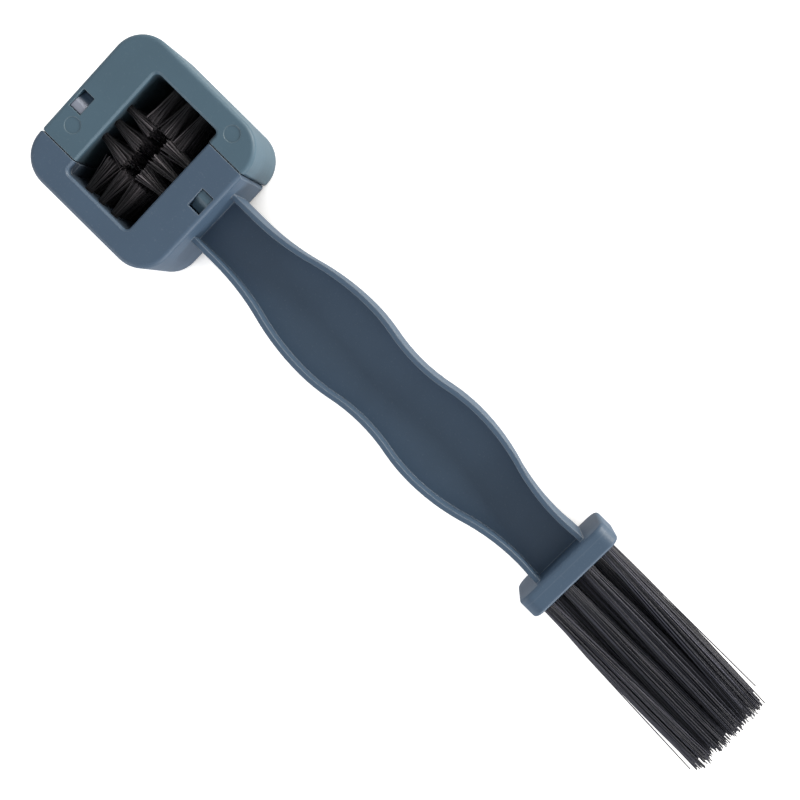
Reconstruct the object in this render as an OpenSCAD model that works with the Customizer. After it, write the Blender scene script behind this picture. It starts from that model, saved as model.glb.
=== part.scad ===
// Bicycle chain brush in millimetres. A square head closes round the chain, and tufts
// on its four walls point at it. Half of the head pulls off so that the chain can be
// laid in. A longer brush for sprockets stands on the other end of the handle.
// +X runs from the head to the long brush, +Y is the way the removable half comes off,
// and +Z points up from the head's flat back. The origin lies under the middle.

/* [Head] */
// Length of the head along the handle
head_l = 51.4; // [49:0.2:56]
// Width of the head across the handle
head_w = 53.5; // [52:0.5:58]
// Depth of the head from back to front
head_d = 31; // [30:0.5:34]
// Radius of the head's outer corners
head_corner_r = 10; // [7:0.5:11]
// Fillet round the head's front and back edges
head_fillet = 1.4; // [0.8:0.1:1.8]
// Thickness of the two long walls beside the opening
long_wall_t = 13.4; // [12.8:0.2:14]
// Thickness of the two short walls beside the opening
short_wall_t = 7.4; // [7:0.1:8.6]
// Radius of the opening's corners
opening_r = 1.6; // [1.2:0.2:2.4]
// Chamfer round the opening's front and back edges
opening_chamfer = 0.6; // [0.4:0.1:1]
// Distance from the opening's short side to its split
split_inset = 3.95; // [3.35:0.1:4.35]
// Gap between the two halves at the splits
split_gap = 0.3; // [0.2:0.05:0.4]
// Depth of the notch at each outer end of the splits
split_notch = 0.9; // [0.5:0.1:1]
// Height of the corner rib inside the opening
rib_t = 1; // [0.6:0.1:1.4]
// Distance from the head's faces to the ends of the corner rib
rib_inset = 3; // [2:0.5:5]

/* [Latches and spigots] */
// Wall outside the latch channel
latch_wall = 1.5; // [1.2:0.1:1.8]
// Width of a latch window
window_w = 4.3; // [3.8:0.1:4.6]
// Length of a latch window
window_l = 6.3; // [5.5:0.1:7]
// Distance from a split to its latch window
window_start = 10.5; // [9:0.5:11]
// Thickness of the skin that the windows pierce
latch_skin = 1.6; // [1.4:0.1:1.9]
// Thickness of a latch finger
latch_t = 2; // [1.8:0.1:2.2]
// Distance of a hook's crest below the front face
hook_inset = 0.45; // [0.3:0.05:0.6]
// Length of a hook's flat crest
hook_crest_l = 2.2; // [1.8:0.1:2.6]
// Radius of the knuckle that a latch finger bends at
knuckle_r = 1.3; // [1.2:0.05:1.35]
// Distance from a split to the knuckle's axis
knuckle_inset = 2.5; // [2.2:0.1:3]
// Room below a latch finger for pressing it in
latch_room = 2.3; // [2.2:0.1:2.8]
// Running clearance round a knuckle
knuckle_fit = 0.05; // [0.03:0.01:0.08]
// Clearance beside the latch fingers and spigots
slide_fit = 0.1; // [0.08:0.02:0.16]
// Length of a spigot beyond its split
spigot_l = 14; // [10:0.5:15]
// Height of a spigot
spigot_h = 14; // [10:0.5:15]
// Distance from the head's back face to a spigot
spigot_z = 5; // [4:0.5:6]

/* [Round marks] */
// Radius of the round moulding marks
mark_r = 2.45; // [2:0.05:2.6]
// Depth of the round moulding marks
mark_t = 0.15; // [0.1:0.05:0.25]
// Distance from the left split to the first mark
mark_a_y = 7; // [6:0.5:8]
// Distance from the outer side to the first mark
mark_a_x = 6.1; // [5:0.1:7]
// Distance from the right split to the second mark
mark_b_y = 6.4; // [5:0.1:7]
// Distance from the outer side to the second mark
mark_b_x = 10.2; // [9:0.1:11]

/* [Handle] */
// Thickness of the handle's rims from back to front
handle_t = 16; // [13:0.5:18]
// Width of a rim
rim_w = 1.5; // [1.3:0.1:2.2]
// Thickness of the web between the rims
web_t = 2.5; // [2:0.1:3.5]
// Width of the neck at the head
neck_w = 18.6; // [16:0.2:20]
// Width of the two swells
swell_w = 29.6; // [27:0.2:32]
// Width of the waist between the swells
waist_w = 25.1; // [22:0.1:26]
// Width of the neck at the end flange
end_neck_w = 18.4; // [16:0.2:20]
// Width of the handle where it meets the end flange
root_w = 19.2; // [18.8:0.1:21]
// Length of the straight neck at the head
neck_l = 9; // [6:0.5:12]
// Length from the neck to the first swell
rise_l = 41; // [36:0.5:46]
// Length from the first swell to the waist
dip_l = 22.5; // [18:0.5:26]
// Length from the waist to the second swell
lift_l = 22.5; // [18:0.5:26]
// Length from the second swell to the end neck
fall_l = 38.5; // [34:0.5:44]
// Length of the flare into the end flange
flare_l = 8.8; // [7:0.1:11]

/* [End flange] */
// Thickness of the flange along the handle
flange_l = 6.9; // [6.5:0.1:8]
// Width of the flange
flange_w = 33.8; // [33:0.2:37]
// Depth of the flange from back to front
flange_d = 22.6; // [22:0.2:25]
// Radius of the flange's corners
flange_r = 4; // [3:0.2:5]
// Fillet round the flange's edges
flange_fillet = 1; // [0.6:0.1:1.4]

/* [Head tufts] */
// Rows of tufts from back to front on each wall
head_rows = 5; // [3:1:5]
// Tufts in a row
head_tufts = 3; // [2:1:3]
// Distance between rows
row_pitch = 5.5; // [5:0.1:5.8]
// Distance between tufts along the two long walls
long_wall_pitch = 5.4; // [4.6:0.1:5.4]
// Distance between tufts along the two short walls
short_wall_pitch = 5.2; // [4.6:0.1:5.3]
// Shift of the long walls' tufts toward the removable half
long_wall_shift = 0.8; // [0:0.1:1]
// Radius of a tuft's hole
hole_r = 1.25; // [1.2:0.05:1.3]
// Wall between the floor of a long wall's hole and the channel behind it
long_hole_floor = 2.1; // [1.6:0.1:2.6]
// Wall between the floor of a short wall's hole and the outside
short_hole_floor = 2; // [1.6:0.1:2.6]
// Length of the slot that the tufts leave for the chain
slot_l = 4.8; // [4.4:0.1:8]
// Gap between the short walls' tufts and the sides of the long walls' tufts
tuft_gap = 0.4; // [0.3:0.1:2]
// Strands in a head tuft
head_strands = 3; // [3:1:5]
// Half width of a head strand
head_strand_r = 0.22; // [0.16:0.02:0.22]

/* [End tufts] */
// Rows of tufts from back to front on the flange
end_rows = 4; // [2:1:4]
// Tufts in the front row of the flange, where every second row has one less
end_tufts_across = 4; // [3:1:4]
// Distance between the rows of the flange
end_row_pitch = 5.2; // [4.8:0.1:5.4]
// Distance between the tufts of the flange
end_pitch = 7.8; // [7:0.1:8]
// Radius of a hole in the flange
end_hole_r = 2.15; // [1.9:0.05:2.2]
// Depth of a hole in the flange
end_hole_depth = 5.2; // [4.4:0.1:5.4]
// Length of the end tufts
end_reach = 65; // [50:0.2:72]
// Strands in an end tuft
end_strands = 9; // [8:1:12]
// Half width of an end strand
end_strand_r = 0.27; // [0.2:0.01:0.27]

/* [Hidden] */
$fn = 64;
arc_fn_share = 6;
hole_sides = 10;

// Two arcs of the handle's side are a little rounder than ones that just touch, so that
// they cross at a clear angle. Their radii are whole steps, and each runs on by arc_run
arc_share = 1.004;
arc_step = 0.01;
arc_run = 2;
handle_l = neck_l + rise_l + dip_l + lift_l + fall_l + flare_l;
overall_l = head_l + handle_l + flange_l + end_reach;
head_x = -overall_l / 2 + head_l / 2;
handle_x = head_x + head_l / 2;
opening_l = head_l - 2 * long_wall_t;
opening_w = head_w - 2 * short_wall_t;
split_y = opening_w / 2 - split_inset;
flange_x = handle_x + handle_l;
mid_z = head_d / 2;
embed = rim_w / 3;
cut_over = head_fillet;

// Outer side of the latch channel and the window, from the head's centre line
channel_x = head_l / 2 - latch_wall;
knuckle_z = head_d - latch_skin - slide_fit - latch_t / 2;
channel_floor_z = knuckle_z - latch_t / 2 - latch_room;
window_end = window_start + window_l;
finger_tip = window_end - 3 * slide_fit;
tip_drop = 1.4;
ramp_drop = 0.3;

// Tufts: share of the hole that the plug fills, and of the plug that the strands stand on
plug_share = 0.92;
spot_share = 0.62;
plug_sides = 5;
root_depth = 0.5;
anchor_share = 0.9;
head_anchor_h = 1.4;
head_anchor_t = 0.4;
end_anchor_h = 1.6;
end_anchor_t = 0.5;
head_spread_share = 1.35;
end_spread_share = 1.5;
end_lean_share = -0.1;
head_ragged = 0.5;
end_ragged = 2.4;
tip_share = 0.6;
golden_turn = 137.5;

// Depth of the head's holes, half width of a head tuft at its tips, and the tufts' lengths
long_hole_depth = long_wall_t - latch_wall - window_w - slide_fit - long_hole_floor;
short_hole_depth = short_wall_t - short_hole_floor;
head_tip_r = spot_share * head_spread_share * hole_r + tip_share * head_strand_r;
long_tufts_side = long_wall_shift + centred(head_tufts, head_tufts) * long_wall_pitch + head_tip_r;
long_wall_reach = (opening_l - slot_l) / 2;
short_wall_reach = opening_w / 2 - long_tufts_side - tuft_gap;

plastic = [0.33, 0.40, 0.48];
clip_plastic = [0.33, 0.44, 0.49];
bristle = [0.10, 0.10, 0.11];
steel = [0.68, 0.67, 0.64];

head_row_numbers = [1:head_rows];
end_row_numbers = [1:end_rows];

// Rectangle with round corners that stands on the X axis, centred on Y
module soft_rect(w, h, f) {
    translate([-w / 2 + f, 0]) square([w - 2 * f, h]);
    translate([-w / 2, f]) square([w, h - 2 * f]);
    for (x = [-1, 1]) {
        for (y = [f, h - f]) translate([x * (w / 2 - f), y]) circle(f);
    }
}

// Bar along X with a soft_rect section, centred on its length
module soft_bar(l, w, h, f) {
    rotate([90, 0, 90]) translate([0, 0, -l / 2]) linear_extrude(l) soft_rect(w, h, f);
}

// Round disc with the same fillet as soft_bar
module soft_disc(r, h, f) {
    rotate_extrude() intersection() {
        soft_rect(2 * r, h, f);
        square([r, h]);
    }
}

// Block with round corners in plan and a fillet round both faces
module soft_block(l, w, h, r, f) {
    soft_bar(l - 2 * r, w, h, f);
    rotate([0, 0, 90]) soft_bar(w - 2 * r, l, h, f);
    for (x = [-1, 1]) {
        for (y = [-1, 1]) translate([x * (l / 2 - r), y * (w / 2 - r), 0]) soft_disc(r, h, f);
    }
}

// Corner that a chamfer takes away: the solid lies at +X and below the X axis
module chamfer_cut(c) {
    polygon([[0, -c], [c, 0], [c, c], [0, c]]);
}

// Chamfer round the opening's edge on the face at z = 0, cut from below
module opening_edge_cut() {
    for (side = [0, 180]) {
        rotate([0, 0, side]) translate([opening_l / 2, opening_w / 2 - opening_r, 0])
            rotate([90, 0, 0]) linear_extrude(opening_w - 2 * opening_r) chamfer_cut(opening_chamfer);
        rotate([0, 0, side + 90]) translate([opening_w / 2, opening_l / 2 - opening_r, 0])
            rotate([90, 0, 0]) linear_extrude(opening_l - 2 * opening_r) chamfer_cut(opening_chamfer);
    }
    for (x = [-1, 1]) {
        for (y = [-1, 1]) {
            translate([x * (opening_l / 2 - opening_r), y * (opening_w / 2 - opening_r), 0])
                rotate_extrude() translate([opening_r, 0]) chamfer_cut(opening_chamfer);
        }
    }
}

module opening_cut() {
    translate([0, 0, -cut_over]) linear_extrude(head_d + 2 * cut_over) {
        square([opening_l, opening_w - 2 * opening_r], center = true);
        square([opening_l - 2 * opening_r, opening_w], center = true);
        for (x = [-1, 1]) {
            for (y = [-1, 1]) {
                translate([x * (opening_l / 2 - opening_r), y * (opening_w / 2 - opening_r)]) circle(opening_r);
            }
        }
    }
    translate([0, 0, head_d]) opening_edge_cut();
    mirror([0, 0, 1]) opening_edge_cut();
}

// Room that one half may fill: the long bar at -X, the whole +Y bar and the stub at +X
module half_room() {
    far = head_l + head_w;
    low = split_y - split_gap / 2;
    high = split_y + split_gap / 2;
    translate([0, 0, -cut_over]) linear_extrude(head_d + 2 * cut_over)
        polygon([[-far, -low], [0, -low], [0, high], [far, high], [far, far], [-far, far]]);
}

// Place things in the stub at +X, with +Z pointing out of the split and +Y up to the front
module at_split() {
    translate([channel_x - window_w / 2, split_y, 0]) rotate([90, 0, 0]) children();
}

// Outline of a latch finger from its knuckle to its hook
module finger_outline() {
    top = knuckle_z + latch_t / 2;
    crest = head_d - hook_inset;
    catch = window_start + 2 * slide_fit;
    polygon([
        [-knuckle_inset, knuckle_z - latch_t / 2], [finger_tip, knuckle_z - latch_t / 2],
        [finger_tip, top - tip_drop / 2], [finger_tip - hook_crest_l / 2, top - ramp_drop],
        [catch + hook_crest_l, crest], [catch, crest], [catch, top], [-knuckle_inset, top]
    ]);
}

module latch_finger() {
    finger_w = window_w - 2 * slide_fit;
    at_split() rotate([0, -90, 0]) translate([0, 0, -finger_w / 2]) {
        linear_extrude(finger_w) finger_outline();
        translate([-knuckle_inset, knuckle_z, 0]) cylinder(r = knuckle_r, h = finger_w);
    }
}

// Pocket for the knuckle, and the slot that lets the finger swing
module latch_pocket() {
    pocket_w = window_w;
    slot_h = latch_t + 2 * slide_fit + latch_room / 4;
    at_split() rotate([0, -90, 0]) translate([-knuckle_inset, 0, -pocket_w / 2]) {
        translate([0, knuckle_z, 0]) cylinder(r = knuckle_r + knuckle_fit, h = pocket_w);
        translate([0, knuckle_z + latch_t / 2 + slide_fit - slot_h, 0]) cube([knuckle_inset, slot_h, pocket_w]);
    }
}

// Channel in the long bar for the other half's finger, and the window for its hook
module latch_channel() {
    channel_w = window_w + 2 * slide_fit;
    channel_top = head_d - latch_skin;
    at_split() {
        translate([-channel_w / 2, channel_floor_z, -split_gap])
            cube([channel_w, channel_top - channel_floor_z, window_end + split_gap + slide_fit]);
        translate([-window_w / 2, channel_floor_z, window_start]) cube([window_w, head_d, window_l]);
    }
}

module spigot() {
    at_split() translate([-window_w / 2, spigot_z, -split_gap]) cube([window_w, spigot_h, spigot_l + split_gap]);
}

module spigot_socket() {
    at_split() translate([-window_w / 2 - slide_fit, spigot_z - slide_fit, -split_gap])
        cube([window_w + 2 * slide_fit, spigot_h + 2 * slide_fit, spigot_l + split_gap + 3 * slide_fit]);
}

// Rib in the opening's corner, on the stub
module corner_rib() {
    translate([opening_l / 2 - rib_t, split_y + split_gap / 2, rib_inset])
        cube([rib_t + opening_chamfer, opening_w / 2 - split_y, head_d - 2 * rib_inset]);
}

// Turn a tuft's frame so that it points from a wall to the middle of the opening
module on_wall(turn, distance, shift) {
    rotate([0, 0, turn]) translate([distance, shift, 0]) rotate([0, -90, 0]) children();
}

module on_far_wall() {
    on_wall(180, opening_l / 2, -long_wall_shift) children();
}

module on_near_wall() {
    on_wall(0, opening_l / 2, long_wall_shift) children();
}

module on_clip_wall() {
    on_wall(90, opening_w / 2, 0) children();
}

module on_base_wall() {
    on_wall(270, opening_w / 2, 0) children();
}

function centred(i, count) = i - (count + 1) / 2;
function row_z(n) = mid_z + centred(n, head_rows) * row_pitch;
function end_row_z(n) = mid_z + centred(n, end_rows) * end_row_pitch;
// The flange's rows are staggered, so that each second one fills the gaps of the one before it
function end_count(n) = end_tufts_across - (end_rows - n) % 2;
function end_tuft_y(i, n) = centred(i, end_count(n)) * end_pitch;

// Children stand at each tuft of a head row, which lies along the frame's Y axis
module along_row(n, pitch) {
    for (i = [1:head_tufts]) translate([row_z(n), centred(i, head_tufts) * pitch, 0]) children();
}

module wall_holes(pitch, depth) {
    for (n = head_row_numbers) along_row(n, pitch) translate([0, 0, -depth])
        cylinder(r = hole_r, h = depth + opening_chamfer, $fn = hole_sides);
}

// Notches that break the outer edges at both ends of the split
module split_notches() {
    for (x = [-1, 1]) translate([x * head_l / 2, x * split_y, -cut_over])
        linear_extrude(head_d + 2 * cut_over)
            polygon([[-split_notch, 0], [0, -split_notch], [split_notch, 0], [0, split_notch]]);
}

// One half of the head with its long bar at -X
module head_half() {
    difference() {
        union() {
            intersection() {
                difference() {
                    soft_block(head_l, head_w, head_d, head_corner_r, head_fillet);
                    opening_cut();
                    split_notches();
                }
                half_room();
            }
            spigot();
            corner_rib();
        }
        latch_pocket();
        rotate([0, 0, 180]) {
            latch_channel();
            spigot_socket();
        }
    }
}

module place_half(turn) {
    translate([head_x, 0, 0]) rotate([0, 0, turn]) children();
}

module round_marks() {
    for (spot = [[mark_a_x - head_l / 2, mark_a_y - split_y], [head_l / 2 - mark_b_x, split_y + mark_b_y]])
        translate([spot[0], spot[1], head_d - mark_t]) cylinder(r = mark_r, h = 2 * mark_t);
}

module clip_half() {
    color(clip_plastic) place_half(0) difference() {
        head_half();
        round_marks();
        on_far_wall() wall_holes(long_wall_pitch, long_hole_depth);
        on_clip_wall() wall_holes(short_wall_pitch, short_hole_depth);
    }
}

// A stretch is [start, length, half width at its start, half width at its end, how far it
// runs on], and two equal arcs lead from one width to the other
stretches = [
    [neck_l, rise_l, neck_w / 2, swell_w / 2, 0],
    [neck_l + rise_l, dip_l, swell_w / 2, waist_w / 2, 0],
    [neck_l + rise_l + dip_l, lift_l, waist_w / 2, swell_w / 2, 0],
    [neck_l + rise_l + dip_l + lift_l, fall_l, swell_w / 2, end_neck_w / 2, 0],
    [handle_l - flare_l, flare_l, end_neck_w / 2, root_w / 2, embed]
];

function growth(s) = s[3] - s[2];
function touching_r(s) = (s[1] * s[1] + growth(s) * growth(s)) / (4 * abs(growth(s)));
function arc_r(s) = round(arc_share * touching_r(s) / arc_step) * arc_step;
function arc_turn(s) = atan(s[1] / (2 * arc_r(s) - abs(growth(s))));
// Point where the two arcs meet, moved inward by inset
function mid_point(s, inset) = [
    s[0] + s[1] / 2 + sign(growth(s)) * inset * sin(arc_turn(s)),
    (s[2] + s[3]) / 2 - inset * cos(arc_turn(s))
];

// The part of a circle that lies between two distances along the handle
module arc_strip(x, y, r, from, to) {
    intersection() {
        translate([x, y]) circle(r, $fn = arc_fn_share * $fn);
        translate([from, -rim_w]) square([to - from, swell_w]);
    }
}

module hollow_arc(s, inset) {
    grows = growth(s) > 0;
    mid = mid_point(s, inset)[0];
    if (grows) arc_strip(s[0], s[2] + arc_r(s), arc_r(s) + inset, s[0], mid + arc_run);
    else arc_strip(s[0] + s[1], s[3] + arc_r(s), arc_r(s) + inset, mid - arc_run, s[0] + s[1]);
}

module full_arc(s, inset) {
    grows = growth(s) > 0;
    mid = mid_point(s, inset)[0];
    if (grows) arc_strip(s[0] + s[1], s[3] - arc_r(s), arc_r(s) - inset, mid - arc_run, s[0] + s[1] + s[4]);
    else arc_strip(s[0], s[2] - arc_r(s), arc_r(s) - inset, s[0], mid + arc_run);
}

// Plan of the handle's +Y side, moved inward by inset, with a little below the axis
module half_plan(inset) {
    start = [[-embed, -rim_w], [-embed, neck_w / 2 - inset]];
    turns = [for (s = stretches) for (p = [[s[0], s[2] - inset], mid_point(s, inset)]) p];
    end = [[handle_l + embed, root_w / 2 - inset - embed], [handle_l + embed, -rim_w]];
    difference() {
        union() {
            polygon(concat(start, turns, end));
            for (s = stretches) full_arc(s, inset);
        }
        for (s = stretches) hollow_arc(s, inset);
    }
}

module rim() {
    translate([0, 0, -handle_t / 2]) linear_extrude(handle_t) difference() {
        half_plan(0);
        half_plan(rim_w);
    }
}

module half_web() {
    translate([0, 0, -web_t / 2]) linear_extrude(web_t) half_plan(rim_w / 2);
}

module handle() {
    translate([handle_x, 0, mid_z]) {
        for (side = [0, 1]) mirror([0, side, 0]) {
            rim();
            half_web();
        }
    }
}

module flange() {
    translate([flange_x, 0, mid_z]) rotate([90, 0, 90])
        soft_block(flange_w, flange_d, flange_l, flange_r, flange_fillet);
}

// Children stand at each tuft of a row on the flange and point along +X
module along_end_row(n) {
    for (i = [1:end_count(n)]) translate([flange_x + flange_l, end_tuft_y(i, n), end_row_z(n)])
        rotate([0, 90, 0]) children();
}

module end_holes() {
    for (n = end_row_numbers) along_end_row(n) translate([0, 0, -end_hole_depth])
        cylinder(r = end_hole_r, h = end_hole_depth + flange_fillet, $fn = hole_sides);
}

module handle_frame() {
    color(plastic) difference() {
        union() {
            place_half(180) head_half();
            handle();
            flange();
        }
        place_half(0) {
            on_near_wall() wall_holes(long_wall_pitch, long_hole_depth);
            on_base_wall() wall_holes(short_wall_pitch, short_hole_depth);
        }
        end_holes();
    }
}

module handle_latch() {
    color(plastic) place_half(180) latch_finger();
}

module clip_latch() {
    color(clip_plastic) place_half(0) latch_finger();
}

// Strand with three sides from spot a at height z0 to spot b at height z1
module strand(a, b, r, z0, z1) {
    root = [for (k = [0:2]) [a[0] + r * cos(120 * k), a[1] + r * sin(120 * k), z0]];
    tip = [for (k = [0:2]) [b[0] + tip_share * r * cos(120 * k), b[1] + tip_share * r * sin(120 * k), z1]];
    polyhedron(points = concat(root, tip),
        faces = [[0, 1, 2], [3, 5, 4], [0, 4, 1], [0, 3, 4], [1, 5, 2], [1, 4, 5], [2, 3, 0], [2, 5, 3]]);
}

// Sunflower layout, which keeps the strands of a tuft apart
function strand_spot(k, count, r) =
    [r * sqrt((k + 0.5) / count) * cos(golden_turn * k), r * sqrt((k + 0.5) / count) * sin(golden_turn * k)];
function raggedness(k, seed) = (1 + sin(97 * k + 53 * seed)) / 2;

// Tuft on +Z: a plug that ends flush at z = 0, and strands that lean out by drift
module tuft(r, depth, reach, count, strand_r, spread, drift, ragged, seed) {
    plug_r = plug_share * r;
    translate([0, 0, -depth]) cylinder(r = plug_r, h = depth, $fn = plug_sides);
    for (k = [0:count - 1]) {
        spot = strand_spot(k, count, spot_share * r);
        strand(spot, spread * spot + drift, strand_r, -root_depth, reach - ragged * raggedness(k, seed));
    }
}

module head_tuft_row(n, pitch, depth, reach) {
    for (i = [1:head_tufts]) {
        translate([row_z(n), centred(i, head_tufts) * pitch, 0])
            tuft(hole_r, depth - head_anchor_h, reach, head_strands, head_strand_r, head_spread_share, [0, 0],
                head_ragged, n + 7 * i);
    }
}

module end_tuft_row(n) {
    for (i = [1:end_count(n)]) {
        drift = [centred(n, end_rows) * end_row_pitch, end_tuft_y(i, n)] * end_lean_share;
        translate([flange_x + flange_l, end_tuft_y(i, n), end_row_z(n)]) rotate([0, 90, 0])
            tuft(end_hole_r, end_hole_depth - end_anchor_h, end_reach, end_strands, end_strand_r, end_spread_share,
                [-drift[0], drift[1]], end_ragged, n + 7 * i);
    }
}

// Flat anchor that stands on the floor of a hole and holds the tuft's fold
module anchor(r, depth, h, t) {
    w = 2 * anchor_share * r;
    translate([-t / 2, -w / 2, -depth]) cube([t, w, h]);
}

module wall_anchors(pitch, depth) {
    for (n = head_row_numbers) along_row(n, pitch) anchor(hole_r, depth, head_anchor_h, head_anchor_t);
}

module far_wall_tufts(n) {
    color(bristle) place_half(0) on_far_wall()
        head_tuft_row(n, long_wall_pitch, long_hole_depth, long_wall_reach);
}

module near_wall_tufts(n) {
    color(bristle) place_half(0) on_near_wall()
        head_tuft_row(n, long_wall_pitch, long_hole_depth, long_wall_reach);
}

module clip_wall_tufts(n) {
    color(bristle) place_half(0) on_clip_wall()
        head_tuft_row(n, short_wall_pitch, short_hole_depth, short_wall_reach);
}

module base_wall_tufts(n) {
    color(bristle) place_half(0) on_base_wall()
        head_tuft_row(n, short_wall_pitch, short_hole_depth, short_wall_reach);
}

module end_tufts(n) {
    color(bristle) end_tuft_row(n);
}

module far_wall_anchors() {
    color(steel) place_half(0) on_far_wall() wall_anchors(long_wall_pitch, long_hole_depth);
}

module near_wall_anchors() {
    color(steel) place_half(0) on_near_wall() wall_anchors(long_wall_pitch, long_hole_depth);
}

module clip_wall_anchors() {
    color(steel) place_half(0) on_clip_wall() wall_anchors(short_wall_pitch, short_hole_depth);
}

module base_wall_anchors() {
    color(steel) place_half(0) on_base_wall() wall_anchors(short_wall_pitch, short_hole_depth);
}

module end_anchors() {
    color(steel) for (n = end_row_numbers) along_end_row(n)
        anchor(end_hole_r, end_hole_depth, end_anchor_h, end_anchor_t);
}

handle_frame();
clip_half();
handle_latch();
clip_latch();
for (n = head_row_numbers) {
    far_wall_tufts(n);
    near_wall_tufts(n);
    clip_wall_tufts(n);
    base_wall_tufts(n);
}
for (n = end_row_numbers) {
    end_tufts(n);
}
far_wall_anchors();
near_wall_anchors();
clip_wall_anchors();
base_wall_anchors();
end_anchors();
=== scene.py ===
"""Looks of the bicycle chain brush: moulded plastic, black nylon filaments, and a plain studio."""

import math
import random

import bmesh
import bpy
from mathutils import Matrix, Vector


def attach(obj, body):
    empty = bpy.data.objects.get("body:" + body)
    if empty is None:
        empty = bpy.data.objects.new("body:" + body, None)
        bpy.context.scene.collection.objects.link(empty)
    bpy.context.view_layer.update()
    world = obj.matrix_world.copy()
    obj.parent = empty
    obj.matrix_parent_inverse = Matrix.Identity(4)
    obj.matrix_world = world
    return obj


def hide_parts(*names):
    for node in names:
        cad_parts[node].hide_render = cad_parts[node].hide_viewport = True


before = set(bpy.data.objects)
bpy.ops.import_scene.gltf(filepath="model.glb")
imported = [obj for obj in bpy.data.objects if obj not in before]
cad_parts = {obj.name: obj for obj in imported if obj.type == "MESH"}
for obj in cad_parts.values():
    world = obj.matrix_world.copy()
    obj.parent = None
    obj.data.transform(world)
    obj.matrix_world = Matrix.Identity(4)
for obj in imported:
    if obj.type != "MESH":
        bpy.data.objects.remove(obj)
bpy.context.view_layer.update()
MM = 0.001

# Places and sizes that follow the part's source, in millimetres
HEAD_X, MID_Z, FRONT_Z = -107.1, 15.5, 31.0
OPENING_L, OPENING_W = 24.6, 38.7
HEAD_ROWS, ROW_PITCH = 5, 5.5
HEAD_HOLE_R, HEAD_PLUG_DEPTH = 1.25, 3.9
LONG_PITCH, LONG_REACH, LONG_SHIFT = 5.4, 9.9, 0.8
SHORT_PITCH, SHORT_REACH = 5.2, 11.5
FLANGE_X, FACE_X = 60.9, 67.8
# The flange's front row has END_ACROSS tufts, and every second row has one less
END_ROWS, END_ACROSS = 4, 4
END_PITCH, END_ROW_PITCH, END_REACH = 7.8, 5.2, 65.0
END_HOLE_R, END_PLUG_DEPTH = 2.15, 3.5
# The mould parts a little way along the end flange
PARTING_X = FLANGE_X + 2.4
# Half length and half width of the part of the opening's walls with painted shade, a little over the
# opening's
WELL_L, WELL_W = OPENING_L / 2 + 0.3, OPENING_W / 2 + 0.3
# The plastic's clouds, specks, moulded grain and machining lines, in noise grains a metre
CLOUDS, SPECKS, GRAINS, LINES = 60, 1500, 4200, 2000
LINES_STRETCH = (0.012, 0.012, 1)
# The same of a filament and of the anchors' drawn wire, and their edges' radius in millimetres
FILAMENT_GRAINS, WIRE_GRAINS, WIRE_STRETCH = 2500, 3000, (1, 1, 0.1)
FINE_EDGE_R = 0.05


class Value:
    """A socket of a material, so that sums and products of it are written as they are read."""

    def __init__(self, paint, socket):
        self.paint, self.socket = paint, socket

    def __add__(self, other):
        return self.paint.math("ADD", self, other)

    __radd__ = __add__

    def __sub__(self, other):
        return self.paint.math("SUBTRACT", self, other)

    def __rsub__(self, other):
        return self.paint.math("SUBTRACT", other, self)

    def __mul__(self, other):
        return self.paint.math("MULTIPLY", self, other)

    __rmul__ = __mul__

    def __truediv__(self, other):
        return self.paint.math("DIVIDE", self, other)

    def __abs__(self):
        return self.paint.math("ABSOLUTE", self)

    def clipped(self):
        """Held between 0 and 1."""
        return self.paint.node("ShaderNodeClamp", Value=self)

    def ramp(self, low, high, to_low=0.0, to_high=1.0):
        """Smooth step from to_low at low to to_high at high."""
        settings = {"interpolation_type": "SMOOTHSTEP"}
        places = {1: low, 2: high, 3: to_low, 4: to_high}
        return self.paint.node("ShaderNodeMapRange", settings, places, Value=self)


class Paint:
    """The nodes of one material or of the world."""

    def __init__(self, owner):
        self.owner = owner
        owner.use_nodes = True
        self.tree = owner.node_tree
        self.shader = self.tree.nodes.get("Principled BSDF")

    def node(self, kind, settings=None, places=None, out=0, **sockets):
        """Adds a node: its settings, then its sockets by place or by name. Gives back its output."""
        made = self.tree.nodes.new(kind)
        for key, value in (settings or {}).items():
            setattr(made, key, value)
        for key, value in [*(places or {}).items(), *sockets.items()]:
            self.join(made.inputs[key], value)
        return Value(self, made.outputs[out])

    def join(self, socket, value):
        if isinstance(value, Value):
            self.tree.links.new(value.socket, socket)
        else:
            socket.default_value = value

    def math(self, operation, a, b=0.0):
        return self.node("ShaderNodeMath", {"operation": operation}, {0: a, 1: b})

    def place(self):
        return self.node("ShaderNodeTexCoord", out="Object")

    def noise(self, scale, detail=2.0, stretch=(1, 1, 1)):
        """Noise on the object's own coordinates, with scale in grains a metre."""
        where = self.node("ShaderNodeMapping", Vector=self.place(), Scale=stretch)
        return self.node("ShaderNodeTexNoise", Vector=where, Scale=scale, Detail=detail)

    def axes(self, vector):
        """The three parts of a vector."""
        split = self.node("ShaderNodeSeparateXYZ", Vector=vector)
        return [Value(self, s) for s in split.socket.node.outputs]

    def blend(self, share, a, b):
        """Colour from a to b by share."""
        return self.node("ShaderNodeMix", {"data_type": "RGBA"}, {0: share, 6: a, 7: b}, out=2)

    def edge_rounding(self, radius):
        """Rounded normal for edges of that radius, and a mask that is 1 on them."""
        rounded = self.node("ShaderNodeBevel", {"samples": 6}, Radius=radius)
        flat = self.node("ShaderNodeNewGeometry", out="True Normal")
        settings = {"operation": "DOT_PRODUCT"}
        facing = self.node("ShaderNodeVectorMath", settings, {0: rounded, 1: flat}, out="Value")
        return rounded, facing.ramp(0.995, 0.8)

    def finish(self, **sockets):
        for name, value in sockets.items():
            self.join(self.shader.inputs[name.replace("_", " ")], value)
        return self.owner

    def output(self, shader):
        """Joins a shader to the output node."""
        kind = "World Output" if isinstance(self.owner, bpy.types.World) else "Material Output"
        self.join(self.tree.nodes[kind].inputs["Surface"], shader)


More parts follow.
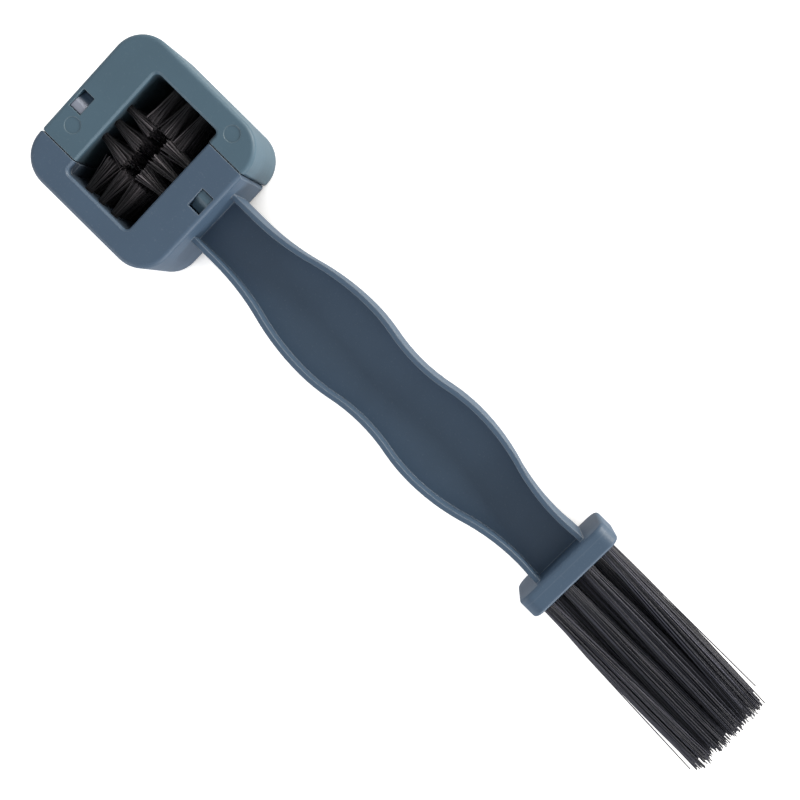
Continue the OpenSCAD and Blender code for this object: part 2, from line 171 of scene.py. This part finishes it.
def moulded_plastic(name, colour, worn, edge_r, crest_highlight=None):
    """Satin polypropylene with a fine grain, machining lines round its walls and paler edges, which are
    partly worn and partly a painted highlight, and with painted shade on the walls of the head's opening.

    A hook's crest, when a colour is given for it, takes that colour as a painted highlight."""
    paint = Paint(bpy.data.materials.new(name))
    rounded, edges = paint.edge_rounding(edge_r)
    cloud = paint.noise(CLOUDS, 3)
    grain = paint.noise(GRAINS, 2)
    speckle = paint.noise(SPECKS, 2)
    lines = paint.noise(LINES, 2, LINES_STRETCH)
    x, y, z = paint.axes(paint.place())
    _, _, tilt = paint.axes(paint.node("ShaderNodeNewGeometry", out="True Normal"))
    wall = abs(tilt).ramp(0.7, 0.3)
    parting = abs(x - PARTING_X * MM).ramp(0.3 * MM, 0.05 * MM)
    # Painted shade: the walls of the head's opening are painted near black behind the front bevel
    inside = abs(x - HEAD_X * MM).ramp(WELL_L * MM, (WELL_L - 0.15) * MM)
    inside = inside * abs(y).ramp(WELL_W * MM, (WELL_W - 0.15) * MM)
    painted_well_shade = inside * z.ramp((FRONT_Z - 0.4) * MM, (FRONT_Z - 3) * MM, 0, 0.64)

    darker = tuple(0.86 * c for c in colour[:3]) + (1,)
    base = paint.blend(cloud.ramp(0.3, 0.7, 0, 0.5), colour, darker)
    base = paint.blend(speckle.ramp(0.6, 0.75, 0, 0.12), base, worn)
    base = paint.blend(lines.ramp(0.45, 0.75, 0, 0.12) * wall, base, worn)
    # Edges and the parting line are lighter, partly as worn plastic and partly as a painted highlight
    base = paint.blend((edges * 0.85 + parting * 0.1).clipped(), base, worn)
    # Painted shade on the walls of the head's opening
    base = paint.blend(painted_well_shade, base, (0.01, 0.01, 0.012, 1))
    # A painted highlight on a hook's crest, where it shows in its window
    if crest_highlight:
        base = paint.blend(z.ramp((FRONT_Z - 1.6) * MM, (FRONT_Z - 0.9) * MM), base, crest_highlight)
    height = grain * 0.3 + speckle * 0.2 + lines * wall * 0.7 + parting * 0.5
    bump = {"Height": height, "Strength": 0.15, "Distance": 0.12 * MM}
    normal = paint.node("ShaderNodeBump", Normal=rounded, **bump)
    roughness = 0.4 + cloud * 0.12 + grain * 0.08 + wall * 0.05 - edges * 0.08
    return paint.finish(Base_Color=base, Roughness=roughness, Normal=normal, IOR=1.5)


def nylon(name, dark, pale_and_sheen, sheen, root_shade_share=0.0):
    """Black nylon filament, each one a little lighter or darker, with a soft sheen; the lighter ones
    are partly their own tone and partly a painted sheen.

    The ones in the head's opening get painted shade toward its walls, by the last argument's share."""
    paint = Paint(bpy.data.materials.new(name))
    x, y, _ = paint.axes(paint.place())
    # Painted shade on the head's filaments toward the walls of its opening
    along_x = abs(x - HEAD_X * MM) / (OPENING_L / 2 * MM)
    along_y = abs(y) / (OPENING_W / 2 * MM)
    root_shade = paint.math("MAXIMUM", along_x, along_y).ramp(0.35, 0.85, 0, root_shade_share)
    each = paint.node("ShaderNodeNewGeometry", out="Random Per Island")
    grain = paint.noise(FILAMENT_GRAINS, 1)
    _, edges = paint.edge_rounding(FINE_EDGE_R * MM)
    # Lighter filaments are partly their own tone and partly a painted sheen, and so are their lighter
    # edges
    base = paint.blend((each * each * each * 0.85 + grain * 0.15).clipped(), dark, pale_and_sheen)
    base = paint.blend(edges * 0.3, base, pale_and_sheen)
    # Painted shade toward the opening's walls
    base = paint.blend(root_shade, base, dark)
    roughness = 0.34 + each * 0.18 + grain * 0.1
    return paint.finish(Base_Color=base, Roughness=roughness, IOR=1.53, Specular_IOR_Level=sheen)


def steel(name):
    """Drawn steel wire of the anchors."""
    paint = Paint(bpy.data.materials.new(name))
    drawn = paint.noise(WIRE_GRAINS, 2, WIRE_STRETCH)
    rounded, edges = paint.edge_rounding(FINE_EDGE_R * MM)
    base = paint.blend(drawn, (0.5, 0.49, 0.47, 1), (0.68, 0.67, 0.64, 1))
    base = paint.blend(edges * 0.5, base, (0.8, 0.79, 0.77, 1))
    return paint.finish(Base_Color=base, Roughness=0.3 + drawn * 0.2, Metallic=1.0, Normal=rounded)


# Each plastic's second colour lightens specks, machining lines and edges, the edges partly as worn
# plastic and partly as a painted highlight. The hook's crest colour is a painted highlight.
HANDLE_COLOUR, HANDLE_WEAR_AND_HIGHLIGHT = (0.060, 0.104, 0.166, 1), (0.21, 0.255, 0.31, 1)
CLIP_COLOUR, CLIP_WEAR_AND_HIGHLIGHT = (0.071, 0.132, 0.182, 1), (0.17, 0.24, 0.28, 1)
HOOK_CREST_HIGHLIGHT = (0.3, 0.335, 0.42, 1)
handle_blue = moulded_plastic("handle_plastic", HANDLE_COLOUR, HANDLE_WEAR_AND_HIGHLIGHT, 0.5 * MM)
clip_blue = moulded_plastic("clip_plastic", CLIP_COLOUR, CLIP_WEAR_AND_HIGHLIGHT, 0.45 * MM)
hook_blue = moulded_plastic("hook_plastic", HANDLE_COLOUR, HANDLE_WEAR_AND_HIGHLIGHT, 0.45 * MM, HOOK_CREST_HIGHLIGHT)
# The lighter colours stand partly for a painted sheen, and the head's filaments get painted shade toward
# the opening's walls
black_nylon = nylon("black_nylon", (0.004, 0.005, 0.008, 1), (0.105, 0.108, 0.145, 1), 0.36)
head_nylon = nylon("head_nylon", (0.004, 0.0045, 0.006, 1), (0.2, 0.184, 0.204, 1), 0.22, 0.9)
cut_nylon = nylon("cut_nylon", (0.05, 0.05, 0.055, 1), (0.12, 0.12, 0.13, 1), 0.5)
anchor_steel = steel("anchor_steel")

finishes = {
    "handle_frame": handle_blue,
    "handle_latch": hook_blue,
    "clip_half": clip_blue,
    "clip_latch": clip_blue,
}
for name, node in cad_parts.items():
    finish = finishes.get(name) or (anchor_steel if name.endswith("anchors") else black_nylon)
    node.data.materials.clear()
    node.data.materials.append(finish)


# Angle that spreads the filaments of a tuft evenly, in degrees
GOLDEN_TURN = 137.508


def tuft_spots(count, radius, chance):
    """Places of a tuft's filaments in its round hole, close together and turned by chance."""
    turn = chance.uniform(0, 360)
    spots = []
    for k in range(count):
        r = radius * math.sqrt((k + 0.5) / count)
        a = math.radians(turn + GOLDEN_TURN * k)
        spots.append(Vector((r * math.cos(a), r * math.sin(a))))
    return spots


def bundle(name, node, body, paths, radius, finish):
    """One piece of many filaments that stands for a row of tufts, with paler cut ends."""
    curve = bpy.data.curves.new(name, "CURVE")
    curve.dimensions = "3D"
    curve.bevel_depth = radius * MM
    curve.bevel_resolution = 1
    curve.use_fill_caps = True
    for path in paths:
        spline = curve.splines.new("POLY")
        spline.points.add(len(path) - 1)
        for point, place in zip(spline.points, path):
            point.co = (*(place * MM), 1)
    source = bpy.data.objects.new(name + ".lines", curve)
    bpy.context.scene.collection.objects.link(source)
    ready = source.evaluated_get(bpy.context.evaluated_depsgraph_get())
    mesh = bpy.data.meshes.new_from_object(ready)
    bpy.data.objects.remove(source)
    mesh.name = name
    mesh.materials.clear()
    mesh.materials.append(finish)
    mesh.materials.append(cut_nylon)
    # Only the cut ends have more than four corners
    for face in mesh.polygons:
        face.material_index = int(len(face.vertices) > 4)
    piece = bpy.data.objects.new(name, mesh)
    bpy.context.scene.collection.objects.link(piece)
    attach(piece, body)
    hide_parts(node)
    return piece


def filament(start, out, depth, length, side, bow, steps):
    """From depth inside the hole to the tip: it fans out by side, and bow curves it on the way."""
    places = [start - out * depth, start]
    for k in range(1, steps + 1):
        t = k / steps
        places.append(start + out * (length * t) + side * t**1.15 + bow * math.sin(math.pi * t))
    return places


def shaken(chance, amount, along, up):
    """A small step by chance across the filament."""
    return along * chance.uniform(-amount, amount) + up * chance.uniform(-amount, amount)


# Wall, its body, where its middle is, which way its tufts point, and their pitch and length
WALLS = [
    ("far_wall", "clip_body", (HEAD_X - OPENING_L / 2, LONG_SHIFT), (1, 0), LONG_PITCH, LONG_REACH),
    ("near_wall", "handle_body", (HEAD_X + OPENING_L / 2, LONG_SHIFT), (-1, 0), LONG_PITCH, LONG_REACH),
    ("clip_wall", "clip_body", (HEAD_X, OPENING_W / 2), (0, -1), SHORT_PITCH, SHORT_REACH),
    ("base_wall", "handle_body", (HEAD_X, -OPENING_W / 2), (0, 1), SHORT_PITCH, SHORT_REACH),
]
# Filaments in a head tuft, their radius, and how far they fan out
HEAD_FILAMENTS, HEAD_FILAMENT_R, HEAD_FAN = 44, 0.15, (0.8, 1.65)
chance = random.Random(11)
up = Vector((0, 0, 1))
for wall, body, middle, way, pitch, reach in WALLS:
    out = Vector((*way, 0))
    along = Vector((-way[1], way[0], 0))
    for n in range(1, HEAD_ROWS + 1):
        paths = []
        for i in (-1, 0, 1):
            foot = Vector((*middle, MID_Z + (n - 3) * ROW_PITCH)) + along * (i * pitch)
            lean = shaken(chance, 0.6, along, up)
            for spot in tuft_spots(HEAD_FILAMENTS, HEAD_HOLE_R * 0.86, chance):
                offset = along * spot.x + up * spot.y
                side = lean + offset * chance.uniform(*HEAD_FAN) + shaken(chance, 0.5, along, up)
                bow = shaken(chance, 0.18, along, up)
                length = reach - 0.9 * chance.random() ** 2
                paths.append(filament(foot + offset, out, HEAD_PLUG_DEPTH, length, side, bow, 4))
        bundle(f"{wall}_bristles_{n}", f"{wall}_tufts_{n}", body, paths, HEAD_FILAMENT_R, head_nylon)

# The same in a tuft of the long brush
END_FILAMENTS, END_FILAMENT_R, END_FAN = 124, 0.17, (0.35, 1.2)
# Two filaments that stand off on their own, one at each side
FREE_FILAMENTS = [
    [(64.5, -13.2, 22), (68, -13.3, 22), (77.4, -14.1, 21.5),
     (87.2, -14.9, 21), (112.9, -16.2, 20.5), (132.5, -17.1, 20.5)],
    [(64.5, 13.3, 22), (68, 13.4, 22), (90, 14.1, 21.5), (127.4, 14, 20.5)],
]
# The long brush: every second row stands in the gaps, the tufts close up a little toward -Y,
# and the ones at +Y are worn a little shorter
out, along = Vector((1, 0, 0)), Vector((0, 1, 0))
for n in range(1, END_ROWS + 1):
    paths = []
    count = END_ACROSS - (END_ROWS - n) % 2
    for i in range(1, count + 1):
        across, deep = (i - (count + 1) / 2) * END_PITCH, (n - 2.5) * END_ROW_PITCH
        foot = Vector((FACE_X, across, MID_Z + deep))
        lean = shaken(chance, 0.6, along, up) + Vector((0, -1.35 - 0.115 * across, -0.02 * deep))
        worn = 1.6 * max(0, across) / END_PITCH
        for spot in tuft_spots(END_FILAMENTS, END_HOLE_R * 0.88, chance):
            offset = along * spot.x + up * spot.y
            side = lean + offset * chance.uniform(*END_FAN) + shaken(chance, 0.5, along, up)
            bow = shaken(chance, 0.35, along, up) + offset * 0.2
            length = END_REACH - worn * chance.random() - 3.6 * chance.random() ** 1.6
            paths.append(filament(foot + offset, out, END_PLUG_DEPTH, length, side, bow, 8))
    if n == END_ROWS:
        paths.extend([Vector(p) for p in free] for free in FREE_FILAMENTS)
    bundle(f"end_bristles_{n}", f"end_tufts_{n}", "handle_body", paths, END_FILAMENT_R, black_nylon)


# Half width of the floor in metres, its place under the part, and how far its shade reaches
FLOOR_HALF, FLOOR_Z, SHADE_REACH = 4, -0.2, 30


def floor_finish():
    """White, and brighter to the camera alone, so that it reads as a white page with faint shadows."""
    paint = Paint(bpy.data.materials.new("floor_white"))
    tone = paint.noise(3, 2).ramp(0.3, 0.7)
    white = paint.blend(tone, (0.78, 0.78, 0.78, 1), (0.8, 0.8, 0.8, 1))
    paint.finish(Base_Color=white, Roughness=0.9)
    seen, glossy, through = [paint.node("ShaderNodeLightPath", out=f"Is {kind} Ray")
                             for kind in ("Camera", "Glossy", "Transmission")]
    # The glow fades where ambient occlusion is strong, a painted shade that keeps the floor inside the
    # head's opening dark
    near = {"Distance": SHADE_REACH * MM}
    open_sky = paint.node("ShaderNodeAmbientOcclusion", {"samples": 8}, out="AO", **near)
    share = (seen + (glossy + through) * 0.45) * open_sky.ramp(0.22, 0.5)
    dark = paint.node("ShaderNodeEmission", Strength=0.0)
    glow = paint.node("ShaderNodeEmission", Strength=0.8)
    extra = paint.node("ShaderNodeMixShader", None, {0: share.clipped(), 1: dark, 2: glow})
    body = Value(paint, paint.shader.outputs[0])
    paint.output(paint.node("ShaderNodeAddShader", None, {0: body, 1: extra}))
    return paint.owner


mesh = bpy.data.meshes.new("floor")
shape = bmesh.new()
bmesh.ops.create_grid(shape, x_segments=1, y_segments=1, size=FLOOR_HALF)
bmesh.ops.translate(shape, verts=shape.verts, vec=(0, 0, FLOOR_Z * MM))
shape.to_mesh(mesh)
shape.free()
floor = bpy.data.objects.new("floor", mesh)
floor.data.materials.append(floor_finish())
bpy.context.scene.collection.objects.link(floor)


def soft_light(name, place, width, height, power, colour=(1, 1, 1)):
    """A wide, low lamp that faces the middle of the part."""
    light = bpy.data.lights.new(name, "AREA")
    light.shape, light.size, light.size_y, light.energy = "RECTANGLE", width, height, power
    light.color = colour
    lamp = bpy.data.objects.new(name, light)
    lamp.location = place
    lamp.rotation_euler = (-Vector(place)).to_track_quat("-Z", "Y").to_euler()
    bpy.context.scene.collection.objects.link(lamp)


# A low lamp at +Y lights the walls there more than the fronts, and weak ones stand across
soft_light("key", (0.15, 0.82, 0.29), 0.8, 0.26, 10.5, (1, 0.95, 0.87))
soft_light("fill", (-0.3, -0.75, 0.3), 0.8, 0.3, 3.0)
soft_light("end", (0.85, -0.2, 0.16), 0.5, 0.2, 5.0)

room = Paint(bpy.data.worlds.new("room"))
_, _, height = room.axes(room.node("ShaderNodeTexCoord", out="Generated"))
sides = room.node("ShaderNodeBackground", Strength=0.4)
ceiling = room.node("ShaderNodeBackground", Strength=0.31)
page = room.node("ShaderNodeBackground", Strength=1.0)
for background in (sides, ceiling, page):
    background.socket.node.inputs["Color"].default_value = (1, 1, 1, 1)
lit = room.node("ShaderNodeMixShader", None, {0: height.ramp(0.1, 0.7), 1: sides, 2: ceiling})
seen = room.node("ShaderNodeLightPath", out="Is Camera Ray")
glossy = room.node("ShaderNodeLightPath", out="Is Glossy Ray")
room.output(room.node("ShaderNodeMixShader", None, {0: (seen + glossy * 0.8).clipped(), 1: lit, 2: page}))
bpy.context.scene.world = room.owner
bpy.context.scene.view_settings.view_transform = "Standard"

# Camera solved from the photograph: it looks down on the front with a tilt of 6.7 degrees,
# turned by 45 degrees so that the handle runs to the lower right. PART_SHIFT is the distance
# from the middle that it was solved for to the part's own middle
SPIN, TILT, DISTANCE = math.radians(0.34), math.radians(6.72), 328
AIM_X, AIM_Y, PART_SHIFT = -6.8, -0.3, 1.6
turned = Matrix.Rotation(SPIN, 3, "Z") @ Matrix.Rotation(TILT, 3, "X")
right, upward, back = (turned[i].copy() for i in range(3))
eye = turned.transposed() @ Vector((AIM_X, AIM_Y, DISTANCE)) + Vector((PART_SHIFT, 0, MID_Z))
view = Matrix(((right + upward).normalized(), (upward - right).normalized(), back)).transposed().to_4x4()
view.translation = eye * MM
camera = bpy.data.cameras.new("camera")
camera.lens = 49.5
camera.sensor_width = 36
camera.clip_start = 0.01
watcher = bpy.data.objects.new("camera", camera)
watcher.matrix_world = view
bpy.context.scene.collection.objects.link(watcher)
bpy.context.scene.camera = watcher
